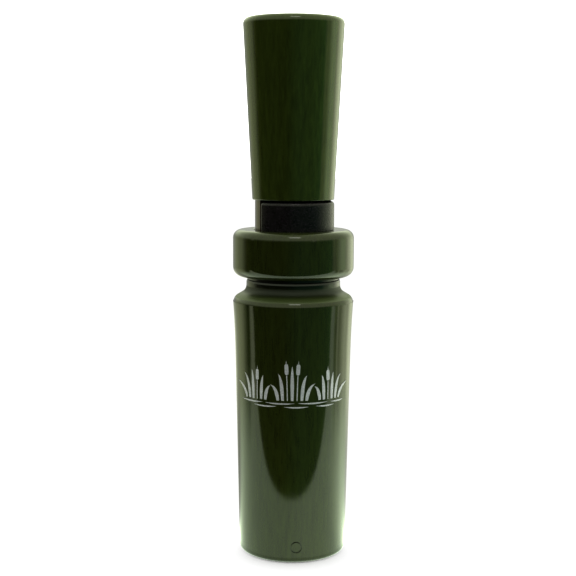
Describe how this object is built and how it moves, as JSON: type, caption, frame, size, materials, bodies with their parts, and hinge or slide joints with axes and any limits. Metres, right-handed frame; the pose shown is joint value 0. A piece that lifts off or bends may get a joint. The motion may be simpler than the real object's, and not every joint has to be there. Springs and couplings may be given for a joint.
{
  "type": "duck call",
  "caption": "Moulded duck call: a barrel with a lanyard groove and a pull-out insert of horn and tone board, with two reeds under a rubber wedge.",
  "frame": {"origin": "centre of the mouthpiece's rim, where the call stands", "axes": "+Z from the mouthpiece up to the exhaust horn's mouth, -Y the printed front of the barrel, above its moulding gate"},
  "size_m": [0.0292, 0.0292, 0.1291],
  "materials": {
    "barrel_plastic": "high gloss, dark olive green",
    "horn_plastic": "high gloss, dark olive green",
    "board_plastic": "semi-gloss, brownish black",
    "wedge_rubber": "satin, black",
    "reed_film": "milky translucent polyester film"
  },
  "bodies": {
    "barrel": {"barrel": "barrel_plastic"},
    "insert": {"exhaust_horn": "horn_plastic", "tone_board": "board_plastic", "wedge": "wedge_rubber", "upper_reed_heel": "reed_film", "lower_reed_heel": "reed_film"},
    "upper_reed": {"upper_reed_blade": "reed_film"},
    "lower_reed": {"lower_reed_blade": "reed_film"}
  },
  "joints": [
    {"name": "insert_pull", "type": "slide", "parent": "barrel", "child": "insert", "axis": [0, 0, 1], "range_m": [0, 0.075]},
    {"name": "upper_reed_flex", "type": "hinge", "parent": "insert", "child": "upper_reed", "pos_m": [0.00065, -0.00179, 0.0669], "axis": [0.9397, 0.342, 0], "range_deg": [-0.6, 1.4], "stiffness_Nm_per_rad": 0.006},
    {"name": "lower_reed_flex", "type": "hinge", "parent": "insert", "child": "lower_reed", "pos_m": [0.00056, -0.00153, 0.0669], "axis": [0.9397, 0.342, 0], "range_deg": [-0.6, 1.4], "stiffness_Nm_per_rad": 0.006}
  ],
  "couplings": [
    {"joint": "lower_reed_flex", "follows": "upper_reed_flex", "ratio": 1}
  ]
}
